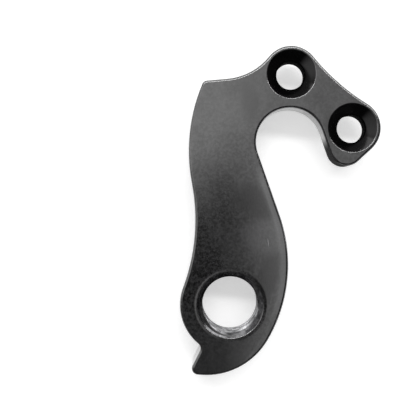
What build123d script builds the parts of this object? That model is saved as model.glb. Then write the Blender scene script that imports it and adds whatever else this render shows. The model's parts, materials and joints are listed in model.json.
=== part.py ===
from build123d import *
from collections import namedtuple
from math import acos, cos, degrees, radians, sin, sqrt
import os

# Replaceable rear derailleur hanger, milled from one plate, lying on its back. Millimetres.
# The origin is in the middle of the derailleur thread. +Z leaves the front face along the
# thread's axis, +Y runs up the arm to the axle slot, and +X points to the screw tab.

# Derailleur thread, M10 x 1, and the boss around it
thread_diameter = 10.0
thread_pitch = 1.0
mouth_chamfer = 0.8
boss_wall = 3.0

# Axle slot, open downwards between the arm and the hook
axle_x = 9.5
axle_y = 25.86
slot_width = 10.8
slot_tilt = 19.4

# Countersunk M4 screws, each set back from the slot by a land of flat metal
screw_hole = 4.5
screw_head = 7.8
head_angle = 90.0
head_rim = 0.61
upper_screw_angle = 89.0
upper_screw_land = 1.46
lower_screw_angle = 12.7
lower_screw_land = 0.84

# Hook nose below the lower screw
nose_radius = 2.7
nose_drop = 4.0

# Edges of the tab and the arm
ridge_radius = 35.0
saddle_radius = 9.6
ledge_drop = 0.75
ledge_fall = 0.25
corner_radius = 0.9
neck_width = 10.7
back_radius = 27.7
back_drop = 1.45
waist_radius = 30.7
calf_radius = 23.6

# Stop spur below the boss
spur_length = 4.3
spur_lean = 26.9
spur_radius = 1.0
notch_radius = 1.0
notch_turn = 13.0
foot_radius = 11.3
foot_lean = 7.4

# Thickness: the tab alone, and the pad that the arm and boss add behind it. The pad stops
# short of the axle to leave a seat for the frame, with a lip along the back of the arm.
tab_thickness = 4.0
pad_thickness = 3.0
lip_width = 5.0
edge_round = 0.4
rim_round = 0.2
rear_chamfer = 0.3

# Worked out from the sizes above
bore_radius = (thread_diameter - 1.0825 * thread_pitch) / 2
slot_radius = slot_width / 2
head_radius = screw_head / 2
lobe_radius = head_radius + head_rim
seat_radius = slot_radius + neck_width - lip_width
rear_z = -(pad_thickness + tab_thickness) / 2
seat_z = rear_z + pad_thickness
front_z = seat_z + tab_thickness

# A round of the outline, which is walked anticlockwise. Its radius is above zero where
# the edge bulges out and below zero where it bites in.
Round = namedtuple("Round", "center radius")


def polar(length, angle):
    return Vector(length * cos(radians(angle)), length * sin(radians(angle)))


def bite_between(first, second, radius):
    """Hollow round of a given radius that touches the rounds before and after it."""
    run = second.center - first.center
    to_first = first.radius + radius
    to_second = second.radius + radius
    along = (run.length**2 + to_first**2 - to_second**2) / (2 * run.length)
    aside = sqrt(to_first**2 - along**2)
    forward = run.normalized()
    outward = forward.rotate(Axis.Z, -90)
    return Round(first.center + forward * along + outward * aside, -radius)


def tangent_run(first, second):
    """Both ends and the heading of the straight run from one round to the next."""
    run = second.center - first.center
    lean = degrees(acos(round((first.radius - second.radius) / run.length, 9)))
    outward = run.normalized().rotate(Axis.Z, -lean)
    leave = first.center + outward * first.radius
    arrive = second.center + outward * second.radius
    return leave, arrive, outward.rotate(Axis.Z, 90)


# Directions of the slot: up to its closed end, and across to the hook
slot_up = polar(1, 90 + slot_tilt)
slot_across = polar(1, slot_tilt)
axle = Vector(axle_x, axle_y)

# Boss, slot, screw lobes and hook nose
boss = Round(Vector(0, 0), thread_diameter / 2 + boss_wall)
slot = Round(axle, -slot_radius)
upper_screw = axle + polar(slot_radius + upper_screw_land + head_radius, upper_screw_angle)
lower_screw = axle + polar(slot_radius + lower_screw_land + head_radius, lower_screw_angle)
upper_lobe = Round(upper_screw, lobe_radius)
lower_lobe = Round(lower_screw, lobe_radius)
nose = Round(axle + slot_across * (slot_radius + nose_radius) - slot_up * nose_drop, nose_radius)

# Hollow edge between the lobes, then the saddle that runs down to the ledge
ridge = bite_between(lower_lobe, upper_lobe, ridge_radius)
ledge_y = upper_screw.Y - ledge_drop
saddle_y = ledge_y + saddle_radius
saddle_reach = sqrt((saddle_radius + lobe_radius) ** 2 - (saddle_y - upper_screw.Y) ** 2)
saddle = Round(Vector(upper_screw.X - saddle_reach, saddle_y), -saddle_radius)

# Back of the arm: a long bulge with a corner at the ledge, then the waist above the boss
back_x = axle_x - slot_radius - neck_width + back_radius
back = Round(Vector(back_x, axle_y - back_drop), back_radius)
corner_y = ledge_y - ledge_fall - corner_radius
corner_reach = sqrt((back_radius - corner_radius) ** 2 - (corner_y - back.center.Y) ** 2)
corner = Round(Vector(back_x - corner_reach, corner_y), corner_radius)
waist = bite_between(back, boss, waist_radius)

# Spur with the notch beside it, and the foot that the spur runs into
spur_angle = 270 - spur_lean
notch = Round(polar(boss.radius + notch_radius, spur_angle - notch_turn), -notch_radius)
spur = Round(polar(boss.radius + spur_length - spur_radius, spur_angle), spur_radius)
foot = Round(spur.center + polar(foot_radius - spur_radius, 90 - foot_lean), foot_radius)

# Calf: touches the foot and the slot's wall on the arm
calf_across = (axle - foot.center).dot(slot_across) - slot_radius - calf_radius
calf_up = sqrt((calf_radius - foot_radius) ** 2 - calf_across**2)
calf = Round(foot.center + slot_across * calf_across + slot_up * calf_up, calf_radius)

rounds = [foot, calf, slot, nose, lower_lobe, ridge, upper_lobe]
rounds += [saddle, corner, back, waist, boss, notch, spur]
runs = [tangent_run(first, second) for first, second in zip(rounds, rounds[1:] + rounds[:1])]
touching = 1e-6

with BuildSketch() as outline:
    with BuildLine():
        for (_, entry, heading), (leave, arrive, _) in zip(runs[-1:] + runs[:-1], runs):
            TangentArc(entry, leave, tangent=heading)
            if (arrive - leave).length > touching:
                Line(leave, arrive)
    make_face()
reach = outline.sketch.bounding_box().diagonal

with BuildPart() as hanger:
    # Plate at the tab's thickness over the whole outline, round at the front edge
    with BuildSketch(Plane.XY.offset(seat_z)):
        add(outline.sketch)
    extrude(amount=tab_thickness)
    fillet(hanger.faces().sort_by(Axis.Z)[-1].edges(), edge_round)
    chamfer(hanger.faces().sort_by(Axis.Z)[0].edges(), rear_chamfer)

    # Pad behind the arm and boss. Its shoulder rounds the axle and runs straight up to the
    # ledge, and nothing is left of it on the hook's side of the slot.
    with BuildSketch(Plane.XY.offset(rear_z)):
        add(outline.sketch)
        with Locations(axle):
            Circle(seat_radius, mode=Mode.SUBTRACT)
            Rectangle(reach, reach, slot_tilt, align=(Align.MIN, Align.CENTER), mode=Mode.SUBTRACT)
        with Locations(axle - (seat_radius, 0)):
            Rectangle(reach, reach, align=Align.MIN, mode=Mode.SUBTRACT)
    extrude(amount=pad_thickness + tab_thickness / 2)
    chamfer(hanger.faces().sort_by(Axis.Z)[0].edges(), rear_chamfer)

    # Screw holes from the front, with their rims broken
    with Locations(Plane.XY.offset(front_z)):
        with Locations(upper_screw, lower_screw):
            CounterSinkHole(screw_hole / 2, head_radius, counter_sink_angle=head_angle)
    screw_edges = hanger.edges(Select.LAST).filter_by(GeomType.CIRCLE)
    fillet(screw_edges.group_by(Axis.Z)[-1], rim_round)

    # Tapping bore with its chamfered mouths
    Hole(bore_radius)
    bore_edges = hanger.edges(Select.LAST).filter_by(GeomType.CIRCLE)
    chamfer(bore_edges, mouth_chamfer)
    mouth_edges = hanger.edges(Select.LAST).filter_by(GeomType.CIRCLE)
    fillet(mouth_edges.group_by(SortBy.RADIUS)[-1], rim_round)

hanger.part.label = "hanger"
os.makedirs("parts", exist_ok=True)
export_step(hanger.part, "parts/hanger.step")
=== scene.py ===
import bpy
import json
from math import copysign, cos, hypot, pi, radians, sin, sqrt, tan
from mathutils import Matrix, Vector

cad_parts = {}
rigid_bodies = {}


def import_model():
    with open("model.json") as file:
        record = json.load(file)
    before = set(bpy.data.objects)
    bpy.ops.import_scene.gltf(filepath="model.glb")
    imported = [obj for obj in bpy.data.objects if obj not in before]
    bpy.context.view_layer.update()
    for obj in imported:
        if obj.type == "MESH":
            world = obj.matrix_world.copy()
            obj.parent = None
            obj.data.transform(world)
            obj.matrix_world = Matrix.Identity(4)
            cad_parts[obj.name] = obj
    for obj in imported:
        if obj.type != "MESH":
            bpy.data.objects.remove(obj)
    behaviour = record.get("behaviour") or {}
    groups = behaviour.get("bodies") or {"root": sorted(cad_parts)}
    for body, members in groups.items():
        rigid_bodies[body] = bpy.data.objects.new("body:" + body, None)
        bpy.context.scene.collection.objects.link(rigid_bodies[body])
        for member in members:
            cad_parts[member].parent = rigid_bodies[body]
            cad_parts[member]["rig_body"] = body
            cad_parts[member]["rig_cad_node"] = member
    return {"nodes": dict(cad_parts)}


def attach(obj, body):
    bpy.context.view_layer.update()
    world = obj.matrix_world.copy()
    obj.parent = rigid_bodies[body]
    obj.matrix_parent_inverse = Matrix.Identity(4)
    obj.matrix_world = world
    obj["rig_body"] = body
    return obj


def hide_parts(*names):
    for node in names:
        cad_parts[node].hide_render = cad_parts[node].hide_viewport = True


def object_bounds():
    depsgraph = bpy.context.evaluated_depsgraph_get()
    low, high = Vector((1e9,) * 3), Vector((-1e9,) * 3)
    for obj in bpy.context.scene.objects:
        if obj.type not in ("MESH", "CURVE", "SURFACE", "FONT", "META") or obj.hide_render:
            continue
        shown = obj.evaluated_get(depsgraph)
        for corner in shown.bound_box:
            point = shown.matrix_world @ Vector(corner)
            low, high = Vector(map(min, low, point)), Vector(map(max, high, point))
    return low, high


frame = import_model()
cadLow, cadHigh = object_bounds()
mm = 0.001  # the frame and the studio are in metres, all other sizes in millimetres
print("frame loaded:", ", ".join(sorted(frame["nodes"])))


# Selection and edit mode

def selectOnly(piece):
    if bpy.context.object and bpy.context.object.mode != "OBJECT":
        bpy.ops.object.mode_set(mode="OBJECT")
    bpy.ops.object.select_all(action="DESELECT")
    piece.select_set(True)
    bpy.context.view_layer.objects.active = piece


def editPoints(piece, test):
    # goes into edit mode with only the points that pass the test selected
    selectOnly(piece)
    bpy.context.tool_settings.mesh_select_mode = (True, False, False)
    for face in piece.data.polygons:
        face.select = False
    for edge in piece.data.edges:
        edge.select = False
    for point in piece.data.vertices:
        point.select = test(point.co)
    bpy.ops.object.mode_set(mode="EDIT")


def everyPoint(place):
    return True


def applyModifier(piece, kind, **settings):
    selectOnly(piece)
    modifier = piece.modifiers.new(kind.lower(), kind)
    for name, value in settings.items():
        setattr(modifier, name, value)
    bpy.ops.object.modifier_apply(modifier=modifier.name)


# Shader wiring

class Wire:
    # one output socket of a material or of the world; sums on wires add Math nodes
    def __init__(self, tree, socket=None):
        self.tree = tree
        self.socket = socket

    def node(self, kind, settings, sockets, out=0):
        made = self.tree.nodes.new("ShaderNode" + kind)
        for name, value in settings.items():
            setattr(made, name, value)
        for name, value in sockets.items():
            if isinstance(value, Wire):
                self.tree.links.new(value.socket, made.inputs[name])
            else:
                made.inputs[name].default_value = value
        return Wire(self.tree, made.outputs[out] if len(made.outputs) else None)

    def maths(self, operation, *values):
        return self.node("Math", {"operation": operation}, dict(enumerate(values)))

    def __add__(self, other):
        return self.maths("ADD", self, other)

    def __radd__(self, other):
        return self.maths("ADD", other, self)

    def __sub__(self, other):
        return self.maths("SUBTRACT", self, other)

    def __rsub__(self, other):
        return self.maths("SUBTRACT", other, self)

    def __mul__(self, other):
        return self.maths("MULTIPLY", self, other)

    def __rmul__(self, other):
        return self.maths("MULTIPLY", other, self)

    def __truediv__(self, other):
        return self.maths("DIVIDE", self, other)

    def __pow__(self, other):
        return self.maths("POWER", self, other)

    def __neg__(self):
        return self.maths("SUBTRACT", 0, self)

    def __abs__(self):
        return self.maths("ABSOLUTE", self)

    def rise(self, span, unit=1):
        # soft step from 0 at the span's start to 1 at its end
        return self.node("MapRange", {"interpolation_type": "SMOOTHSTEP"},
                         {"Value": self, "From Min": span[0] * unit, "From Max": span[1] * unit})

    def fall(self, span, unit=1):
        return 1 - self.rise(span, unit)

    def between(self, first, second):
        # colour that goes from first to second with this wire
        return self.node("Mix", {"data_type": "RGBA"}, {0: self, 6: first, 7: second}, out=2)

    def split(self, vector, axes):
        return [self.node("SeparateXYZ", {}, {"Vector": vector}, out=axis) for axis in axes]

    def fromAxis(self, place, axis):
        # distance from an upright axis, given in millimetres
        level = self.node("VectorMath", {"operation": "MULTIPLY"}, {0: place, 1: (1, 1, 0)})
        middle = (axis[0] * mm, axis[1] * mm, 0)
        return self.node("VectorMath", {"operation": "DISTANCE"}, {0: level, 1: middle}, out="Value")

    def noise(self, place, size, stretch=(1, 1, 1), detail=2, roughness=0.5):
        # size is a patch's width in millimetres
        pulled = self.node("VectorMath", {"operation": "DIVIDE"}, {0: place, 1: stretch})
        return self.node("TexNoise", {}, {"Vector": pulled, "Scale": 1 / (size * mm),
                                          "Detail": detail, "Roughness": roughness}, out="Fac")


def newMaterial(name):
    material = bpy.data.materials.new(name)
    material.use_nodes = True
    material.node_tree.nodes.clear()
    return material, Wire(material.node_tree)


def showShader(wire, shader):
    wire.node("OutputMaterial", {}, {"Surface": shader})


# Form of the solid, in millimetres from the middle of its thread

form = {
    "axle": (9.5, 25.86),
    "slotRadius": 5.4,
    "slotTilt": 19.4,
    "headRadius": 3.9,
    "screws": ((1.46, 89.0), (0.84, 12.7)),  # land beside the slot, angle about the axle
    "noseRadius": 2.7,
    "noseDrop": 4.0,
    "calfCentre": (-14.385, 6.378),
    "calfRadius": 23.6,
    "coneAngle": 45,
    "edgeRound": 0.4,
    "rimRound": 0.2,
}


def aroundAxle(length, angle):
    axleX, axleY = form["axle"]
    return axleX + length * cos(radians(angle)), axleY + length * sin(radians(angle))


def middleOfNose():
    noseX, noseY = aroundAxle(form["slotRadius"] + form["noseRadius"], form["slotTilt"])
    tilt = radians(form["slotTilt"])
    return noseX + form["noseDrop"] * sin(tilt), noseY - form["noseDrop"] * cos(tilt)


screwAxes = [aroundAxle(form["slotRadius"] + land + form["headRadius"], angle)
             for land, angle in form["screws"]]
noseAxis = middleOfNose()
boreAxis = (0, 0)


# Finish: satin black anodised aluminium

anodisedLook = {
    "black": (0.0015, 0.0015, 0.0016, 1),
    "speck": (0.0220, 0.0220, 0.0227, 1),
    "film": (0.0160, 0.0160, 0.0170, 1),
    # pale colour of the painted highlights on the arm
    "paintedSheen": (0.060, 0.060, 0.062, 1),
    "bare": (0.55, 0.55, 0.56, 1),
    "coarse": (0.0008, 0.0008, 0.0008, 1),
    "ior": 2.25,
    "roughness": 0.125,
    "coatRoughness": 0.12,
    "coarseRoughness": 0.9,
    "coarseGloss": 0.03,
    "frontSpan": (3.3, 3.45),  # heights from the wall to the front face
    # patterns, and how far each one spreads the roughness
    "speckNoise": {"size": 0.42, "detail": 2, "roughness": 0.6},
    "grainNoise": {"size": 0.16, "stretch": (1, 2.5, 1), "detail": 2, "roughness": 0.6},
    "smudgeNoise": {"size": 4.5, "stretch": (1, 1.4, 1), "detail": 5, "roughness": 0.62},
    "cloudNoise": {"size": 11.0, "detail": 2},
    "rubNoise": {"size": 0.5, "detail": 3, "roughness": 0.65},
    "grainRough": 0.08,
    "smudgeRough": 0.06,
    "cloudRough": 0.04,
    "edgeRough": 0.10,
    # how the patterns show as speckle, oil film and coat
    "speckSpan": (0.35, 0.67),
    "filmSpan": (0.50, 0.80),
    "filmStrength": 0.5,
    "smudgeCoatSpan": (0.36, 0.62),
    "smudgeCoat": 0.6,
    "speckCoatSpan": (0.38, 0.64),
    "speckCoat": 0.35,
    "footSpan": (-9, -1),
    "footCalm": 0.65,
    "tabSpan": (24, 33),
    "tabCalm": 0.4,
    # rubbed edges and one scratch
    "rubSpan": (0.62, 0.74),
    "rubStrength": 0.25,
    "scratchPlace": (6.0, 9.95),
    "scratchLength": 1.5,
    "scratchWidth": 0.07,
    "scratchLean": 0.12,
    "scratchStrength": 0.8,
    # spots on the face: place, half width, half length, lean and strength. The lighter spot is a painted
    # highlight; the darker spots lose their speckle, film and coat, and the one beside the slot, at 15.9,
    # 28.2, is painted shade
    "sheenSpots": ((5.7, 10.9, 4.4, 3.0, 0, 0.45),),
    "darkerSpots": ((4.1, 16.5, 3.4, 3.3, -0.5, 0.9), (6.1, 5.0, 1.6, 4.5, 0.2, 0.9),
              (3.1, 32.5, 1.8, 4.0, 0, 0.8), (15.9, 28.2, 1.0, 3.0, 0, 0.9)),
    "markSpan": (0.15, 1.35),
    "markWobble": 1.6,
    # painted highlight: a lighter band along the calf, measured outwards from its edge
    "bandInside": (-1.8, -0.8),
    "bandOutside": (-0.55, -0.3),
    "bandFoot": (-4, 2),
    "bandTop": (18, 25),
    "bandStrength": 0.85,
    # dull walls of the screw holes and their cones, and painted shade on the nose: its wall is made dull
    # and dark
    "holeSpan": (2.4, 2.5),
    "holeFoot": (-0.45, -0.35),
    "coneSpan": (3.8, 3.9),
    "coneFoot": (1.7, 1.8),
    "coneDull": 0.5,
    "noseSpan": (2.8, 4.3),
    "noseTop": (3.2, 3.45),
    "noseSide": (-0.4, 2.0),
    "noseShade": 0.95,
    # relief: grain, roll-off along the calf and dip round the thread's mouth
    "grainDepth": 0.00105,
    "rollSpan": (-1.2, 0),
    "rollTop": (18, 23),
    "dipSpan": (5.3, 6.0),
    "rollDepth": 0.020,
}


def pastCalf(wire, place):
    # distance outwards from the calf's edge, which runs straight on up the slot's wall
    x, y = wire.split(place, "XY")
    tilt = radians(form["slotTilt"])
    centreX, centreY = form["calfCentre"]
    offX, offY = x - centreX * mm, y - centreY * mm
    across = offX * cos(tilt) + offY * sin(tilt)
    below = wire.maths("MINIMUM", offY * cos(tilt) - offX * sin(tilt), 0)
    return (across * across + below * below) ** 0.5 - form["calfRadius"] * mm


def softSpots(wire, place, smudge, marks, look):
    # soft spots whose borders are broken up by the smudges; they carry the painted highlight and the
    # darker spots
    x, y = wire.split(place, "XY")
    shown = 0
    for markX, markY, wide, long, lean, strength in marks:
        offX, offY = x - markX * mm, y - markY * mm
        across = (offX - offY * lean) / (wide * mm)
        along = offY / (long * mm)
        off = across * across + along * along + (smudge - 0.5) * look["markWobble"]
        shown = shown + off.fall(look["markSpan"]) * strength
    return shown


def scratchLine(wire, place, look):
    x, y = wire.split(place, "XY")
    scratchX, scratchY = look["scratchPlace"]
    along = y - scratchY * mm
    across = x - scratchX * mm + along * look["scratchLean"]
    line = abs(across).fall((0, look["scratchWidth"]), mm)
    return line * abs(along).fall((0, look["scratchLength"] / 2), mm)


def dullWallsAndNoseShade(wire, place, look):
    # gives the dull share all over, the nose's painted shade with it, and the cones by themselves
    x, z = wire.split(place, "XZ")
    hole, cone = 0, 0
    for axis in screwAxes:
        reach = wire.fromAxis(place, axis)
        hole = hole + reach.fall(look["holeSpan"], mm)
        cone = cone + reach.fall(look["coneSpan"], mm)
    hole = hole * z.rise(look["holeFoot"], mm)
    cone = cone * z.rise(look["coneFoot"], mm)
    # painted shade: the nose's wall below the front turns dull and dark
    nose = wire.fromAxis(place, noseAxis).fall(look["noseSpan"], mm) * z.fall(look["noseTop"], mm)
    nose = nose * (x - noseAxis[0] * mm).fall(look["noseSide"], mm)
    screws = wire.maths("MAXIMUM", hole, cone * look["coneDull"])
    return wire.maths("MAXIMUM", screws, nose * look["noseShade"]), cone


def anodisedFinish(look):
    material, wire = newMaterial("satinBlackAnodise")
    place = wire.node("TexCoord", {}, {}, out="Object")
    y, z = wire.split(place, "YZ")
    front = z.rise(look["frontSpan"], mm)
    speck, grain, smudge, cloud, rub = [wire.noise(place, **look[pattern + "Noise"])
                                        for pattern in ("speck", "grain", "smudge", "cloud", "rub")]
    # the speckle fades at the foot and on the tab
    calm = 1 - y.fall(look["footSpan"], mm) * look["footCalm"]
    calm = calm * (1 - y.rise(look["tabSpan"], mm) * look["tabCalm"])
    speck = 0.5 + (speck - 0.5) * calm

    # bare metal in flecks on the rubbed edges and in the scratch
    edge = wire.node("Attribute", {"attribute_name": "rubbedEdge"}, {}, out="Fac")
    worn = edge * rub.rise(look["rubSpan"]) * look["rubStrength"]
    worn = worn + scratchLine(wire, place, look) * front * look["scratchStrength"]

    # painted highlight in a lighter spot and a band on the arm, and darker spots without speckle and film,
    # the one beside the slot being painted shade
    pastEdge = pastCalf(wire, place)
    calfHighlight = pastEdge.rise(look["bandInside"], mm) * pastEdge.fall(look["bandOutside"], mm)
    calfHighlight = calfHighlight * y.rise(look["bandFoot"], mm) * y.fall(look["bandTop"], mm) * look["bandStrength"]
    paintedSheen = (softSpots(wire, place, smudge, look["sheenSpots"], look) + calfHighlight) * front
    # the darker spots drop speckle, film and coat; the one beside the slot is painted shade
    outsideDarkerSpots = 1 - softSpots(wire, place, smudge, look["darkerSpots"], look) * front

    # dull walls of the holes and cones, with painted shade on the nose
    dull, cone = dullWallsAndNoseShade(wire, place, look)
    speckle = speck.rise(look["speckSpan"]) * (1 - cone) * outsideDarkerSpots
    film = smudge.rise(look["filmSpan"]) * look["filmStrength"] * outsideDarkerSpots
    colour = speckle.between(look["black"], look["speck"])
    colour = film.between(colour, look["film"])
    # painted highlight: the pale colour over the sheen spot and the calf band
    colour = paintedSheen.between(colour, look["paintedSheen"])
    colour = worn.between(colour, look["bare"])
    roughness = look["roughness"] + edge * look["edgeRough"]
    roughness = roughness + (grain - 0.5) * look["grainRough"]
    roughness = roughness + (smudge - 0.5) * look["smudgeRough"] + (cloud - 0.5) * look["cloudRough"]
    coat = smudge.rise(look["smudgeCoatSpan"]) * look["smudgeCoat"]
    coat = (coat + speck.rise(look["speckCoatSpan"]) * look["speckCoat"]) * outsideDarkerSpots

    # the face rolls off a little along the calf and round the thread's mouth
    roll = pastEdge.rise(look["rollSpan"], mm) * y.fall(look["rollTop"], mm)
    dip = wire.fromAxis(place, boreAxis).fall(look["dipSpan"], mm)
    height = (grain + speck) * look["grainDepth"] - (roll + dip * dip) * look["rollDepth"]
    relief = wire.node("Bump", {}, {"Strength": 1, "Distance": mm, "Height": height}, out="Normal")
    satin = wire.node("BsdfPrincipled", {}, {
        "Base Color": colour, "Roughness": roughness, "Metallic": worn, "IOR": look["ior"],
        "Coat Weight": coat, "Coat Roughness": look["coatRoughness"], "Normal": relief})
    coarse = wire.node("BsdfPrincipled", {}, {
        "Base Color": look["coarse"], "Roughness": look["coarseRoughness"],
        "Specular IOR Level": look["coarseGloss"]})
    showShader(wire, wire.node("MixShader", {}, {0: dull, 1: satin, 2: coarse}))
    return material


# Finish: bare metal in the thread and its mouths

cutLook = {
    "metal": (0.38, 0.38, 0.39, 1),
    "dull": (0.10, 0.10, 0.105, 1),
    "dullSpan": (0.35, 0.65),
    "patchNoise": {"size": 1.4, "detail": 3},
    "patchRough": 0.2,
    "roughness": 0.24,
    "ringWidth": 0.09,
    "ringWobble": 4,
    "ringDepth": 0.004,
    "ringStrength": 0.2,
}


def cutFinish(look):
    material, wire = newMaterial("cutMetal")
    place = wire.node("TexCoord", {}, {}, out="Object")
    height = wire.split(place, "Z")[0]
    patch = wire.noise(place, **look["patchNoise"])
    # cutting rings follow the cone, so they go by height
    turns = height * (2 * pi / (look["ringWidth"] * mm)) + patch * look["ringWobble"]
    relief = wire.node("Bump", {}, {
        "Strength": look["ringStrength"], "Distance": look["ringDepth"] * mm,
        "Height": wire.maths("SINE", turns)}, out="Normal")
    shader = wire.node("BsdfPrincipled", {}, {
        "Base Color": patch.rise(look["dullSpan"]).between(look["metal"], look["dull"]),
        "Roughness": look["roughness"] + (patch - 0.5) * look["patchRough"],
        "Metallic": 1, "Normal": relief})
    showShader(wire, shader)
    return material


# Hanger: the frame's solid with its thread cut

hangerSizes = {
    "threadDiameter": 10.0,
    "threadPitch": 1.0,
    "threadTurns": 9,
    "stepsPerTurn": 96,
    "flankAngle": 30,
    "rootFlat": 0.125,
    "cutterInside": 4.34,
    "weld": 1e-4,
    "cutWeld": 2e-5,
    "flatAngle": 0.05,
    "smoothAngle": 30,
    "flatWeight": 50,
    # reaches from the thread's axis and from a screw's, and the height where the mouths begin
    "threadReach": 5.02,
    "coneReach": 5.30,
    "mouthReach": 5.36,
    "rubReach": 6.30,
    "screwReach": 4.0,
    "coneHeight": 2.69,
    # a normal's upward share on flats, above walls, in front and on rounded edges, and its play on a cone
    "flatSlope": 0.9999,
    "wallSlope": 0.3,
    "frontSlope": 0.01,
    "edgeSlopes": (0.02, 0.995),
    "coneMatch": 0.02,
}


def makeThreadCutter(sizes):
    outside = sizes["threadDiameter"] / 2
    inside = sizes["cutterInside"]
    run = sizes["threadTurns"] * sizes["threadPitch"]
    flank = sizes["rootFlat"] + 2 * (outside - inside) * tan(radians(sizes["flankAngle"]))
    middle = ((outside + inside) / 2 * mm, 0, -run / 2 * mm)
    bpy.ops.object.select_all(action="DESELECT")
    bpy.ops.mesh.primitive_plane_add(size=1, location=middle, rotation=(pi / 2, 0, 0))
    cutter = bpy.context.object
    cutter.name = "threadCutter"
    cutter.scale = ((outside - inside) * mm, flank * mm, 1)
    bpy.ops.object.transform_apply(location=True, rotation=True, scale=True)
    # the groove narrows to its root
    editPoints(cutter, lambda place: place.x > middle[0])
    bpy.ops.transform.resize(value=(1, 1, sizes["rootFlat"] / flank),
                             center_override=(outside * mm, 0, middle[2]))
    bpy.ops.object.mode_set(mode="OBJECT")
    applyModifier(cutter, "SCREW", axis="Z", angle=2 * pi, screw_offset=sizes["threadPitch"] * mm,
                  iterations=sizes["threadTurns"], steps=sizes["stepsPerTurn"],
                  render_steps=sizes["stepsPerTurn"], use_normal_calculate=False)
    editPoints(cutter, everyPoint)
    bpy.ops.mesh.remove_doubles(threshold=sizes["weld"] * mm)
    # both ends of the groove are open
    bpy.ops.mesh.select_all(action="SELECT")
    bpy.ops.mesh.fill_holes(sides=4)
    bpy.ops.mesh.normals_make_consistent(inside=False)
    bpy.ops.object.mode_set(mode="OBJECT")
    return cutter


def makeHanger(sizes):
    selectOnly(frame["nodes"]["hanger"])
    bpy.ops.object.duplicate()
    hanger = bpy.context.object
    hanger.name = "threadedHanger"
    hanger.data.name = "threadedHanger"
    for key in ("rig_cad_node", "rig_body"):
        if key in hanger:
            del hanger[key]
    hanger.parent = None
    bpy.ops.mesh.customdata_custom_splitnormals_clear()
    editPoints(hanger, everyPoint)
    bpy.ops.mesh.remove_doubles(threshold=sizes["weld"] * mm)
    bpy.ops.object.mode_set(mode="OBJECT")

    cutter = makeThreadCutter(sizes)
    applyModifier(hanger, "BOOLEAN", operation="DIFFERENCE", solver="EXACT", object=cutter)
    bpy.data.objects.remove(cutter)
    editPoints(hanger, everyPoint)
    bpy.ops.mesh.remove_doubles(threshold=sizes["cutWeld"] * mm)
    bpy.ops.mesh.dissolve_degenerate(threshold=sizes["cutWeld"] * mm)
    bpy.ops.mesh.select_all(action="SELECT")
    bpy.ops.mesh.dissolve_limited(angle_limit=radians(sizes["flatAngle"]))
    bpy.ops.object.mode_set(mode="OBJECT")
    print("thread cut:", len(hanger.data.polygons), "faces")
    return hanger


def fromCentre(face, axis):
    return hypot(face.center.x - axis[0] * mm, face.center.y - axis[1] * mm)


def onCone(face, sizes):
    return abs(abs(face.normal.z) - cos(radians(form["coneAngle"]))) < sizes["coneMatch"]


def holeAround(face, sizes):
    # axis of the hole that a face belongs to, or None on the outside
    if fromCentre(face, boreAxis) < sizes["mouthReach"] * mm:
        return boreAxis
    for axis in screwAxes:
        if fromCentre(face, axis) < sizes["screwReach"] * mm:
            return axis
    return None


def trueNormal(place, face, outward, sizes):
    # the normal that the solid has here, or None where the mesh's own is right
    slope = abs(face.normal.z)
    if slope > sizes["flatSlope"]:
        return Vector((0, 0, copysign(1, face.normal.z)))
    if fromCentre(face, boreAxis) < sizes["threadReach"] * mm and not onCone(face, sizes):
        return None
    depth = cadHigh.z - abs(place.z)
    axis = holeAround(face, sizes)
    if axis:
        # level on a hole's wall, and from the cone's lift upwards on its cone and rim
        level = Vector((axis[0] * mm - place.x, axis[1] * mm - place.y, 0))
        rim = max(cos(radians(form["coneAngle"])), 1 - depth / (form["rimRound"] * mm))
        lift = rim if slope > sizes["wallSlope"] else 0
    elif face.normal.z < sizes["frontSlope"] or face.center.z < cadHigh.z - form["edgeRound"] * mm:
        return None
    else:
        # rounded outer edge of the front
        level = Vector((outward.x, outward.y, 0))
        lift = min(1, max(0, 1 - depth / (form["edgeRound"] * mm)))
    level = level.normalized() * sqrt(1 - lift * lift)
    return Vector((level.x, level.y, copysign(lift, face.normal.z)))


def smoothHanger(hanger, sizes):
    # large flats keep their own normal up to the rounded edges
    selectOnly(hanger)
    bpy.ops.object.shade_smooth_by_angle(angle=radians(sizes["smoothAngle"]))
    applyModifier(hanger, "WEIGHTED_NORMAL", mode="FACE_AREA", weight=sizes["flatWeight"], keep_sharp=True)
    mesh = hanger.data
    outward = [Vector() for point in mesh.vertices]
    for face in mesh.polygons:
        for point in face.vertices:
            outward[point] += face.normal * face.area
    normals = [corner.normal.copy() for corner in mesh.loops]
    for face in mesh.polygons:
        for loop in face.loop_indices:
            point = mesh.loops[loop].vertex_index
            better = trueNormal(mesh.vertices[point].co, face, outward[point], sizes)
            normals[loop] = better or normals[loop]
    mesh.normals_split_custom_set(normals)
    print("normals set:", len(normals), "corners")


def finishHanger(hanger, sizes):
    mesh = hanger.data
    mesh.materials.clear()
    mesh.materials.append(anodisedFinish(anodisedLook))
    mesh.materials.append(cutFinish(cutLook))
    for face in mesh.polygons:
        fromBore = fromCentre(face, boreAxis)
        inMouth = fromBore < sizes["coneReach"] * mm and onCone(face, sizes)
        inThread = fromBore < sizes["threadReach"] * mm and abs(face.center.z) < sizes["coneHeight"] * mm
        face.material_index = 1 if inMouth or inThread else 0


def markRubbedEdges(hanger, sizes):
    # how far each corner is round an outer edge: 0 on the flats and walls, 1 halfway between
    mesh = hanger.data
    rubbed = mesh.attributes.new("rubbedEdge", "FLOAT", "CORNER")
    lowest, highest = sizes["edgeSlopes"]
    for face in mesh.polygons:
        outside = fromCentre(face, boreAxis) > sizes["rubReach"] * mm and not holeAround(face, sizes)
        rounded = outside and lowest < abs(face.normal.z) < highest
        for loop in face.loop_indices:
            lift = abs(mesh.loops[loop].normal.z)
            rubbed.data[loop].value = 4 * lift ** 2 * (1 - lift ** 2) if rounded else 0


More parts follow.
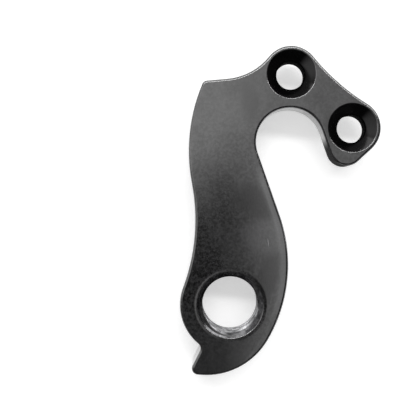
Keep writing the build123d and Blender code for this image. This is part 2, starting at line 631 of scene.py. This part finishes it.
hanger = makeHanger(hangerSizes)
smoothHanger(hanger, hangerSizes)
finishHanger(hanger, hangerSizes)
markRubbedEdges(hanger, hangerSizes)
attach(hanger, "root")
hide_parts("hanger")
print("hanger finished")


# Floor, light and camera

# lengths in metres
studio = {
    "floorSize": 2.0,
    "floorColour": (0.90, 0.90, 0.90, 1),
    "floorRoughness": 0.9,
    "floorGlow": 0.42,
    "keyPower": 1.05,
    "keyDistance": 0.40,
    "keySize": (0.60, 0.05),
    "keyAzimuth": 84,
    "keyElevation": 59,
}
white = (1, 1, 1, 1)


def rayIs(wire, kind):
    return wire.node("LightPath", {}, {}, out="Is " + kind + " Ray")


def seenRay(wire):
    # 1 for what the camera sees straight on or in a mirror, 0 for what only lights the piece
    rays = rayIs(wire, "Camera") + rayIs(wire, "Glossy") + rayIs(wire, "Transmission")
    return wire.maths("MINIMUM", rays, 1)


def makeFloor(values):
    bpy.ops.object.select_all(action="DESELECT")
    bpy.ops.mesh.primitive_plane_add(size=values["floorSize"], location=(0, 0, cadLow.z))
    floor = bpy.context.object
    floor.name = "paleFloor"
    bpy.ops.object.transform_apply(location=True, rotation=True, scale=True)
    material, wire = newMaterial("palePaper")
    paper = wire.node("BsdfPrincipled", {}, {
        "Base Color": values["floorColour"], "Roughness": values["floorRoughness"],
        "Specular IOR Level": 0})
    glow = wire.node("Emission", {}, {"Color": white, "Strength": seenRay(wire) * values["floorGlow"]})
    showShader(wire, wire.node("AddShader", {}, {0: paper, 1: glow}))
    floor.data.materials.append(material)


# what the dome shows in mirrors; a lean is the slope away from straight up
dome = {
    "ambient": 0.62,
    "lowestRise": 0.05,
    # dark spot where the camera stands, with a faint glow on the foot's side
    "spotSlope": (-0.2175, -0.600),
    "spotReach": (0.1436, 0.610),
    "spotLean": 0.376,
    "spotSpan": (0.91, 1.54),
    "glowSpan": (0.11, 0.18),
    "glow": 0.05,
    # dark behind the camera, dim to the right and near the horizon
    "southSide": (-0.10, 0.25),
    "southLean": (0.18, 0.40),
    "southDark": 0.95,
    "eastSide": (-0.2, 0.95),
    "eastLeans": (((0.11, 0.15), 0.5), ((0.2, 0.4), 0.4)),
    "horizonLean": (1.3, 4.0),
    "horizonDark": 0.97,
    # low light from the north and, fainter, from the west
    "lowLean": (2.5, 4.5),
    "northSide": (0.50, 0.70),
    "northLight": 0.9,
    "northEastSide": (0.25, 0.45),
    "northEastLight": 1.4,
    "westSide": (0.55, 0.95),
    "westLight": 0.45,
    "westLean": (6, 11),
    "westLoss": 0.3,
}


def mirroredDome(wire, values):
    x, y, z = wire.split(wire.node("TexCoord", {}, {}, out="Generated"), "XYZ")
    z = wire.maths("MAXIMUM", z, values["lowestRise"])
    level = wire.maths("SQRT", x * x + y * y)
    lean = level / z
    east, north = x / level, y / level

    along = y / z - values["spotSlope"][1]
    across = (x / z - values["spotSlope"][0] - along * values["spotLean"]) / values["spotReach"][0]
    along = along / values["spotReach"][1]
    spot = (across * across + along * along).rise(values["spotSpan"])
    spot = wire.maths("MAXIMUM", spot, (-(y / z)).rise(values["glowSpan"]) * values["glow"])

    dark = (-north).rise(values["southSide"]) * lean.rise(values["southLean"]) * values["southDark"]
    dim = 0
    for span, share in values["eastLeans"]:
        dim = dim + lean.rise(span) * share
    dim = dim * east.rise(values["eastSide"])
    horizon = lean.rise(values["horizonLean"]) * values["horizonDark"]
    shown = spot * (1 - dark) * (1 - dim) * (1 - horizon)

    low = lean.rise(values["lowLean"])
    light = values["northLight"] + east.rise(values["northEastSide"]) * values["northEastLight"]
    shown = wire.maths("MAXIMUM", shown, low * north.rise(values["northSide"]) * light)
    light = values["westLight"] - lean.rise(values["westLean"]) * values["westLoss"]
    return wire.maths("MAXIMUM", shown, low * (-east).rise(values["westSide"]) * light)


def makeWorld(values):
    world = bpy.data.worlds.new("softDome")
    bpy.context.scene.world = world
    world.use_nodes = True
    world.node_tree.nodes.clear()
    wire = Wire(world.node_tree)
    camera, seen = rayIs(wire, "Camera"), seenRay(wire)
    shown = camera + (1 - camera) * mirroredDome(wire, values)
    strength = seen * shown + (1 - seen) * values["ambient"]
    background = wire.node("Background", {}, {"Color": white, "Strength": strength})
    wire.node("OutputWorld", {}, {"Surface": background})


def makeKey(values):
    azimuth, elevation = radians(values["keyAzimuth"]), radians(values["keyElevation"])
    lamp = bpy.data.lights.new("softKey", "AREA")
    lamp.shape = "RECTANGLE"
    lamp.size, lamp.size_y = values["keySize"]
    lamp.energy = values["keyPower"]
    key = bpy.data.objects.new("softKey", lamp)
    bpy.context.scene.collection.objects.link(key)
    middle = (cadLow + cadHigh) / 2
    distance = values["keyDistance"]
    key.location = (middle.x + distance * cos(elevation) * cos(azimuth),
                    middle.y + distance * cos(elevation) * sin(azimuth),
                    distance * sin(elevation))
    key.rotation_euler = (middle - key.location).to_track_quat("-Z", "Y").to_euler()


# the camera looks straight down
cameraSettings = {
    "place": (-3.524, 15.381, 118.1),
    "lens": 62.7,
    "sensor": 36.0,
    "nearest": 10,
}


def makeCamera(values):
    lens = bpy.data.cameras.new("overhead")
    lens.lens = values["lens"]
    lens.sensor_width = values["sensor"]
    lens.clip_start = values["nearest"] * mm
    camera = bpy.data.objects.new("overhead", lens)
    bpy.context.scene.collection.objects.link(camera)
    camera.location = [value * mm for value in values["place"]]
    bpy.context.scene.camera = camera


makeFloor(studio)
makeWorld(dome)
makeKey(studio)
makeCamera(cameraSettings)
bpy.context.scene.view_settings.view_transform = "Standard"
print("studio set")
